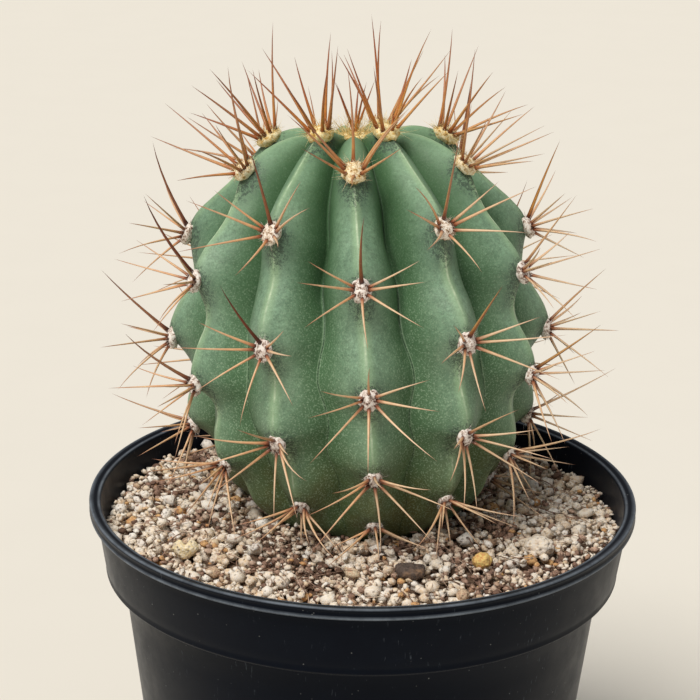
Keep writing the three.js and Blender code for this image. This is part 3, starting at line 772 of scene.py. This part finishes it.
def highlit_side(points):
    """Where a spine's painted highlight lies: 1 along one side of the unit spine and 0 round the rest of
    it.
    """
    girth = np.hypot(points[:, 0], points[:, 1])
    return np.clip(points[:, 0] / np.maximum(girth, 1e-6), 0, 1) ** 2


def bent_copy(shape, start, end, girth, bow):
    """The unit spine laid from start to end, bowed sideways by the vector bow at its middle."""
    points, corners = shape
    line = end - start
    size = np.linalg.norm(line)
    ahead = line / size
    aside = np.cross(ahead, [0.31, 0.17, 0.93])
    aside /= np.linalg.norm(aside)
    across = np.cross(ahead, aside)
    height = points[:, 2:3]
    middle = start + line * height + bow * 4 * height * (1 - height)
    return middle + (points[:, 0:1] * aside + points[:, 1:2] * across) * girth, corners


def areole_frame(rib, length):
    """An areole's centre and its directions out of the skin, up the crest and across it."""
    rib, at = np.array([rib]), np.array([length], float)
    centre = planted(skin_points(rib, np.zeros(1), at)[0])[0]
    _, _, out, up = (float(v[0]) for v in crest_at(at))
    turn = float((twisted_angle(rib, at) + RIB_TURN[rib])[0])
    outward = np.array([math.sin(turn) * out, -math.cos(turn) * out, up])
    upward = np.array([-math.sin(turn) * up, math.cos(turn) * up, out])
    sideways = np.array([math.cos(turn), math.sin(turn), 0])
    turned = PLANT_ARRAY[:3, :3]
    return centre, turned @ outward, turned @ upward, turned @ sideways


def spine_tips(node_name, centre, nearest):
    """The tips of a packed cluster's spines, which are its only corners far from the areole's centre."""
    points = {tuple(round(c / MM, 2) for c in v.co) for v in nodes[node_name].data.vertices}
    return [np.array(p) for p in sorted(points) if np.linalg.norm(np.array(p) - centre) > nearest]


def felt(shape, hair, centre, axes, half, hair_length, hair_count, age, rng):
    """A bumpy cushion of felt with short hairs.

    axes are its directions out, up and aside, and half is half its size aside, up and out.
    """
    out, up, aside = axes
    points, corners = shape
    lumps = np.array([1 + 0.22 * noise.noise(Vector(p) * 2.3 + Vector(centre)) for p in points])[:, None]
    local = points * lumps * half
    placed = centre + local[:, 0:1] * aside + local[:, 1:2] * up + local[:, 2:3] * out
    values = {"age": age, "along": 0.5, "side": 0, "dark": 0}
    parts = [(placed, corners, values, 1)]
    for _ in range(hair_count):
        turn, lift = rng.uniform(0, 2 * math.pi), math.asin(rng.uniform(0.05, 1))
        part = [math.cos(turn) * math.cos(lift), math.sin(turn) * math.cos(lift), math.sin(lift)]
        way = aside * part[0] + up * part[1] + out * part[2]
        spread = np.multiply(part, half) * HAIR_DEPTH
        root = centre + aside * spread[0] + up * spread[1] + out * spread[2]
        stray = np.array([rng.gauss(0, 0.45) for _ in range(3)])
        end = root + (way + stray) * hair_length * rng.uniform(0.5, 1.3)
        bow = np.array([rng.gauss(0, 0.12) for _ in range(3)]) * hair_length
        placed, faces = bent_copy(hair, root, end, rng.uniform(0.05, 0.09), bow)
        parts.append((placed, faces, values, 1))
    return parts


def make_areoles(horn, wool):
    rng = random.Random(41)
    spine = unit_spine(6, 7)
    hair = unit_spine(3, 2)
    bm = bmesh.new()
    bmesh.ops.create_icosphere(bm, subdivisions=3, radius=1)
    dome = shape_arrays(bm)
    for rib in range(RIB_COUNT):
        lengths = [areole_length(rib, count) for count in range(AREOLES_AT_MOST)]
        lengths = [length for length in lengths if length >= FIRST_AREOLE_AT]
        for tier, length in enumerate(lengths, 1):
            node_name = f"spines_rib{rib + 1:02d}_tier{tier}"
            if node_name in nodes:
                make_cluster(node_name, rib, length, spine, hair, dome, [horn, wool], rng)


def make_cluster(node_name, rib, length, spine, hair, dome, materials, rng):
    centre, out, up, aside = areole_frame(rib, length)
    young = 1 - float(smoothstep(length, 12, 62))
    old = float(smoothstep(length, 80, 125))
    start = centre + out * CUSHION_HEIGHT / 2
    half = np.array([2.5 + 0.7 * young, 2.9 + 0.6 * young, 1.6 + 0.6 * young]) * (1 - 0.22 * old)
    hair_length, hair_count = 1.1 + 1.3 * young, int(90 + 90 * young)
    parts = felt(dome, hair, centre, (out, up, aside), half, hair_length, hair_count, 1 - young, rng)
    for tip in spine_tips(node_name, centre, 4.2):
        line = tip - start
        size = np.linalg.norm(line)
        rising = float(line @ up) / size
        central = float(smoothstep(rising, 0.55, 0.75))
        # Spines that point up the crest keep their red-brown longest.
        fading = 1 - young * 0.9 - 0.95 * central * (1 - old)
        age = min(1, max(0, fading + rng.uniform(-0.12, 0.12)))
        level = line - out * (line @ out)
        foot = centre + out * 0.9 + level / np.linalg.norm(level) * half[0] * 0.72
        girth = (0.46 + 0.13 * young + rng.uniform(-0.05, 0.05)) * (1 + 0.3 * central * (1 - old))
        bow = out * size * rng.uniform(-0.01, 0.05) + aside * size * rng.uniform(-0.03, 0.03)
        placed, faces = bent_copy(spine, foot, tip, girth, bow)
        dark = min(1, max(0, 0.9 * central + rng.uniform(-0.3, 0.45)))
        values = {"age": age, "along": spine[0][:, 2], "side": highlit_side(spine[0]), "dark": dark}
        parts.append((placed, faces, values, 0))
    cluster = joined_copies(node_name.replace("spines", "areole"), parts, materials)
    finish_piece(cluster, "spines", node_name)


def make_crown(horn, wool):
    """The crown's wool, with the youngest spines standing in it."""
    rng = random.Random(5)
    spine, hair = unit_spine(6, 7), unit_spine(3, 3)
    bm = bmesh.new()
    bmesh.ops.create_icosphere(bm, subdivisions=4, radius=1)
    dome = shape_arrays(bm)
    turned = PLANT_ARRAY[:3, :3]
    out, up, aside = turned[:, 2], turned[:, 1], turned[:, 0]
    centre = planted(np.array([[0, 0, MERIDIAN_HEIGHT[0]]]))[0]
    parts = felt(dome, hair, centre, (out, up, aside), [6, 6, 1.8], 4.5, 420, 0.0, rng)
    for tip in spine_tips("crown_wool_and_spines", centre, 8):
        start = centre + out
        placed, faces = bent_copy(spine, start, tip, 0.55, aside * rng.uniform(-0.3, 0.3))
        dark = rng.uniform(0, 0.3)
        values = {"age": 0, "along": spine[0][:, 2], "side": highlit_side(spine[0]), "dark": dark}
        parts.append((placed, faces, values, 0))
    crown = joined_copies("crown_wool", parts, [horn, wool])
    finish_piece(crown, "areole_wool", "crown_wool_and_spines")


# ---------------------------------------------------------------- bed of peat and grit


def mix_top(radius):
    heap = 1 - smoothstep(radius, HEAP_RADIUS, BED_RADIUS)
    return POT_HEIGHT - MIX_EDGE_BELOW_RIM + (MIX_EDGE_BELOW_RIM - MIX_CROWN_BELOW_RIM) * heap


class Bed:
    """A height map of what has fallen on the bed so far.

    A grain that is dropped on it lands on the highest thing under it. Nothing lands past the bed's edge or
    on the stem, because they stand as high as BARRED.
    """

    CELL = 0.5
    BARRED = POT_HEIGHT + 50

    def __init__(self):
        self.side = int(2 * BED_EDGE / self.CELL) + 1
        line = (np.arange(self.side) - self.side // 2) * self.CELL
        self.x, self.y = np.meshgrid(line, line, indexing="ij")
        radius = np.hypot(self.x, self.y)
        self.height = mix_top(radius) - 0.4
        self.height[(radius > BED_EDGE) | self.stem_mask()] = self.BARRED

    def stem_mask(self):
        """Where the stem stands at the level of the bed."""
        level = mix_top(np.hypot(self.x, self.y)) + 1
        own = (np.stack([self.x, self.y, level], -1) - PLANT_ARRAY[:3, 3]) @ PLANT_ARRAY[:3, :3]
        length = np.interp(-own[..., 2], -LOWER_HEIGHT, LOWER_LENGTH)
        rib = (np.arctan2(own[..., 0], -own[..., 1]) - twisted_angle(0, length)) / RIB_PITCH
        nearest = np.round(rib).astype(int)
        points, _ = skin_points(nearest % RIB_COUNT, np.clip(2 * (rib - nearest), -1, 1), length)
        return np.hypot(own[..., 0], own[..., 1]) < np.hypot(points[..., 0], points[..., 1])

    def window(self, x, y, radius):
        reach = int(math.ceil(radius / self.CELL))
        i, j = (int(round(c / self.CELL)) + self.side // 2 for c in (x, y))
        low_i, low_j = max(i - reach, 0), max(j - reach, 0)
        part = (slice(low_i, i + reach + 1), slice(low_j, j + reach + 1))
        gap = (self.x[part] - x) ** 2 + (self.y[part] - y) ** 2
        return part, np.sqrt(np.maximum(radius * radius - gap, 0)), gap < radius * radius

    def landing(self, x, y, radius, squash):
        part, cap, inside = self.window(x, y, radius)
        if not inside.any():
            return 1e9
        return float((self.height[part] + cap * squash)[inside].max())

    def settle(self, x, y, radius, squash, sink):
        """Lands a grain and returns its centre's height."""
        level = self.landing(x, y, radius, squash) - sink
        part, cap, inside = self.window(x, y, radius)
        top = level + cap * squash * 0.8
        self.height[part] = np.where(inside, np.maximum(self.height[part], top), self.height[part])
        return level


def peaty(x, y):
    """1 where peat shows through the grit, in patches that are mostly near the stem, and 0 elsewhere."""
    patch = noise.noise(Vector((x / 15, y / 15, 3.7))) + 0.35 * noise.noise(Vector((x / 6, y / 6, 1.2)))
    return float(smoothstep(patch + 0.46 - 0.012 * math.hypot(x, y), -0.2, 0.1))


def drop_grains(bed, rng, count, sizes, tries, in_peat, highest, squash=0.72, sink=0.35):
    """Drops grains at random and keeps the lowest of a few landings for each, as grit settles.

    in_peat is the share of grains that stay where they fall on a patch of peat, and the rest elsewhere.
    A grain that would lie higher than highest above the mix rolls away.
    """
    grains = []
    for _ in range(count):
        radius = sizes(rng) / 2
        best = None
        for _ in range(tries):
            reach = math.sqrt(rng.uniform(17 ** 2, (BED_EDGE - radius) ** 2))
            turn = rng.uniform(0, 2 * math.pi)
            x, y = reach * math.sin(turn), -reach * math.cos(turn)
            share = peaty(x, y)
            if rng.random() > in_peat * share + (1 - in_peat) * (1 - share):
                continue
            above = bed.landing(x, y, radius, squash) - mix_top(reach)
            if best is None or above < best[0]:
                best = (above, x, y)
        if best is None or best[0] > highest:
            continue
        _, x, y = best
        grains.append((x, y, bed.settle(x, y, radius, squash, sink * radius), radius))
    return grains


def grain_shapes(rng, count, subdivisions, rough):
    """Different lumpy pebble shapes of radius about 1."""
    shapes = []
    for _ in range(count):
        bm = bmesh.new()
        bmesh.ops.create_icosphere(bm, subdivisions=subdivisions, radius=1)
        shift = Vector([rng.uniform(-50, 50) for _ in range(3)])
        stretch = [rng.uniform(0.95, 1.25), rng.uniform(0.8, 1.05), rng.uniform(0.62, 0.85)]
        for vert in bm.verts:
            lumps = noise.noise(vert.co * 1.3 + shift) + 0.7 * noise.noise(vert.co * 2.7 + shift)
            vert.co = Vector([c * s * (1 + rough * lumps) for c, s in zip(vert.co, stretch)])
        shapes.append(shape_arrays(bm))
    return shapes


def random_turn(rng, tilt):
    """A rotation about Z by any angle, and about a level axis by up to tilt."""
    heading = rng.uniform(0, 2 * math.pi)
    level = Vector((math.cos(heading), math.sin(heading), 0))
    tipped = Matrix.Rotation(rng.uniform(-tilt, tilt), 3, level)
    return np.array(tipped @ Matrix.Rotation(rng.uniform(0, 2 * math.pi), 3, "Z"))


def scatter(name, grains, shapes, tints, rng, material, slot, replaced=()):
    parts = []
    for x, y, z, radius in grains:
        points, corners = rng.choice(shapes)
        placed = points @ random_turn(rng, 0.6).T * radius + [x, y, z]
        parts.append((placed, corners, {"tint": tints(rng)}, 0))
    piece = joined_copies(name, parts, [material])
    finish_piece(piece, slot, *replaced)


def make_bed():
    rng = random.Random(23)
    bed = Bed()
    cream = [(0.0, "#b39076"), (0.2, "#dfc4a5"), (0.45, "#f5e3ca"), (0.75, "#fdf2e0"), (0.92, "#fffaf0"),
             (1.0, "#d6a572")]
    earthy = [(0.0, "#5a4334"), (0.3, "#86695a"), (0.65, "#b1937f"), (1.0, "#dcc6b0")]
    pumice = stone("rough_pumice", cream, 1.3, 0.35)
    brown = stone("peat_crumb", earthy, 0.9, 0.3)
    peat_stuff = peat()

    # The peat's own rough surface, under everything
    bm = bmesh.new()
    bmesh.ops.create_grid(bm, x_segments=150, y_segments=150, size=BED_EDGE * MM)
    outside = [f for f in bm.faces if f.calc_center_median().length > (BED_EDGE - 0.4) * MM]
    bmesh.ops.delete(bm, geom=outside, context="FACES")
    for vert in bm.verts:
        at = vert.co / MM
        lift = 0.8 * noise.noise(at / 2.1) + 0.5 * noise.noise(at / 0.9)
        vert.co.z = (float(mix_top(at.length)) - 0.1 + lift) * MM
    skirt = bmesh.ops.extrude_face_region(bm, geom=bm.faces[:])
    lower = [g for g in skirt["geom"] if isinstance(g, bmesh.types.BMVert)]
    bmesh.ops.translate(bm, verts=lower, vec=(0, 0, -4 * MM))
    bmesh.ops.recalc_face_normals(bm, faces=bm.faces)
    surface = from_bmesh("peat_surface", bm, [peat_stuff])
    finish_piece(surface, "potting_mix")
    nodes["potting_mix"].data.materials.clear()
    nodes["potting_mix"].data.materials.append(peat_stuff)

    lumpy = grain_shapes(rng, 20, 1, 0.46)
    small = grain_shapes(rng, 20, 1, 0.54)
    tiny = grain_shapes(rng, 10, 1, 0.6)
    pale = lambda r: min(1.0, max(0.0, r.gauss(0.6, 0.24)))
    warm = lambda r: 1.0 if r.random() < 0.025 else min(pale(r), 0.93)
    dark = lambda r: r.random()
    coarse = drop_grains(bed, rng, 620, lambda r: r.uniform(2.8, 4.5), 8, 0.08, 4.4)
    middle = drop_grains(bed, rng, 610, lambda r: r.uniform(2.0, 3.0), 7, 0.15, 3.8)
    crumbs = drop_grains(bed, rng, 4000, lambda r: 0.8 + 1.4 * r.random() ** 1.5, 6, 0.86, 3.4)
    fines = drop_grains(bed, rng, 2200, lambda r: r.uniform(0.8, 1.8), 6, 0.4, 3.6)
    scatter("pumice_coarse", coarse, lumpy, warm, rng, pumice, "pumice", ("pumice_top_dressing",))
    scatter("pumice_middle", middle, small, warm, rng, pumice, "pumice")
    scatter("peat_crumbs", crumbs[::2], tiny, dark, rng, brown, "potting_mix")
    scatter("gravel_crumbs", crumbs[1::2], tiny, dark, rng, brown, "potting_mix")
    scatter("pumice_fines", fines, tiny, pale, rng, pumice, "pumice")
    make_fibres(bed, rng, brown)
    return pumice


def make_fibres(bed, rng, material):
    """Dry root and coir fibres lying on the grit."""
    hair = unit_spine(4, 7)
    parts = []
    while len(parts) < FIBRE_COUNT:
        reach, turn = rng.uniform(24, 61), rng.uniform(0, 2 * math.pi)
        x, y = reach * math.sin(turn), -reach * math.cos(turn)
        size, heading = rng.uniform(3, 11), rng.uniform(0, 2 * math.pi)
        step = np.array([math.cos(heading), math.sin(heading)]) * size
        far_x, far_y = x + step[0], y + step[1]
        if not 24 <= math.hypot(far_x, far_y) <= 63:
            continue
        ends = [np.array([a, b, bed.landing(a, b, 0.5, 0.3)]) for a, b in ((x, y), (far_x, far_y))]
        if max(e[2] for e in ends) > POT_HEIGHT + 1:
            continue
        bow = np.array([-step[1], step[0], 0]) * rng.uniform(-0.22, 0.22) + [0, 0, rng.uniform(0.1, 0.9)]
        placed, faces = bent_copy(hair, ends[0], ends[1], rng.uniform(0.12, 0.24), bow)
        parts.append((placed, faces, {"tint": rng.uniform(0.0, 0.9)}, 0))
    fibres = joined_copies("dry_fibres", parts, [material])
    finish_piece(fibres, "potting_mix")


def make_lump(name, shape, material, slot, tint):
    """A distinct stone or chip in its packed place: shape gives a unit sphere's point its new place."""
    low, high = (np.array(corner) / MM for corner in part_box(name))
    centre, half = (low + high) / 2, (high - low) / 2
    bm = bmesh.new()
    bmesh.ops.create_icosphere(bm, subdivisions=5, radius=1)
    for vert in bm.verts:
        at = shape(Vector(vert.co))
        vert.co = Vector([float(c + a * h) * MM for c, a, h in zip(centre, at, half)])
    bmesh.ops.recalc_face_normals(bm, faces=bm.faces)
    lump = from_bmesh(name + "_fine", bm, [material])
    put_values(lump.data, {"tint": np.full(len(lump.data.vertices), tint)})
    finish_piece(lump, slot, name)


def pitted(point, shift, rough, pores):
    """A stone's surface point: lumpy, with round pores."""
    swell = 1 + rough * noise.noise(point * 1.6 + shift) + 0.4 * rough * noise.noise(point * 5 + shift)
    near = noise.voronoi(point * 2.6 + shift)[0][0]
    return point * (swell - pores * max(0.0, 0.32 - near))


def heart(point):
    """Two lobes with a notch between them, narrowing to a point."""
    p = pitted(point, Vector((3, 7, 1)), 0.12, 0.3)
    up = Vector((0, 0.5, 0.866))
    notch = 0.6 * math.exp(-((p.x / 0.25) ** 2)) * max(p @ up, 0)
    p.x *= 1.05 - 0.5 * max(-(p @ up), 0)
    return p - up * notch


def chip(point):
    """A flat flake with a broken edge."""
    edge = 1 + 0.3 * noise.noise(Vector((point.x, point.y, 0)) * 1.9 + Vector((9, 2, 4)))
    rise = math.copysign(abs(point.z) ** 0.6, point.z)
    return Vector((point.x * edge, point.y * edge, rise + 0.25 * noise.noise(point * 3)))


# ---------------------------------------------------------------- stage, lights and camera


def make_stage():
    bm = bmesh.new()
    bmesh.ops.create_circle(bm, cap_ends=True, segments=96, radius=6)
    floor = from_bmesh("floor", bm, [backdrop_paper()])
    world = bpy.data.worlds.new("pale_room")
    world.use_nodes = True
    world.node_tree.nodes["Background"].inputs["Color"].default_value = colour("#f6f7fa")
    world.node_tree.nodes["Background"].inputs["Strength"].default_value = 0.22
    bpy.context.scene.world = world


def make_key_light():
    """A broad distant light from the front left, high up."""
    light = bpy.data.lights.new("key", "SUN")
    light.energy = KEY_STRENGTH
    light.angle = KEY_SPREAD
    light.color = colour("#fffaf4")[:3]
    lamp = bpy.data.objects.new("key", light)
    way = Vector((math.cos(KEY_TURN), math.sin(KEY_TURN), math.tan(KEY_LIFT)))
    lamp.rotation_euler = way.to_track_quat("Z", "Y").to_euler()
    bpy.context.scene.collection.objects.link(lamp)


def make_camera():
    """It is aimed at the middle of the pot's mouth, then turned a little so that the mouth sits low."""
    mouth = Vector((0, 0, POT_HEIGHT)) * MM
    back = Vector((0, -math.cos(CAMERA_ELEVATION), math.sin(CAMERA_ELEVATION))) * CAMERA_DISTANCE * MM
    pitch = CAMERA_ELEVATION + CAMERA_TILT
    turn = Matrix.Rotation(-CAMERA_TURN, 3, "Z") @ Matrix.Rotation(math.pi / 2 - pitch, 3, "X")
    turn = turn @ Matrix.Rotation(-CAMERA_ROLL, 3, "Z").inverted()
    lens = bpy.data.cameras.new("camera")
    lens.lens = CAMERA_LENS
    lens.clip_start = 0.01
    camera = bpy.data.objects.new("camera", lens)
    camera.matrix_world = Matrix.Translation(mouth + back) @ turn.to_4x4()
    bpy.context.scene.collection.objects.link(camera)
    bpy.context.scene.camera = camera


# ---------------------------------------------------------------- the whole

bpy.context.scene.view_settings.view_transform = "Standard"
make_camera()
make_key_light()
make_stage()
make_pot(pot_plastic())
make_stem(cactus_skin())
HORN, WOOL = spine_horn(), areole_wool()
make_areoles(HORN, WOOL)
make_crown(HORN, WOOL)
PUMICE = make_bed()
AMBER = stone("smooth_amber_pebble", [(0.0, "#b5843f"), (0.5, "#e2b671"), (1.0, "#f2d9a8")], 2.4, 0.08)
BARK = stone("weathered_bark", [(0.0, "#2f2723"), (0.5, "#5d5048"), (1.0, "#877769")], 1.6, 0.3)
HEART = stone("cream_pumice", [(0.0, "#d9b277"), (0.5, "#f8e3b4"), (1.0, "#fff4d6")], 1.3, 0.3)
make_lump("heart_shaped_pumice", heart, HEART, "pumice", 0.6)
make_lump("cream_pumice_lump", lambda p: pitted(p, Vector((8, 1, 5)), 0.2, 0.3), PUMICE, "pumice", 0.62)
make_lump("yellow_pebble", lambda p: pitted(p, Vector((2, 4, 9)), 0.14, 0.0), AMBER, "amber_stone", 0.5)
make_lump("bark_chip", chip, BARK, "bark", 0.4)
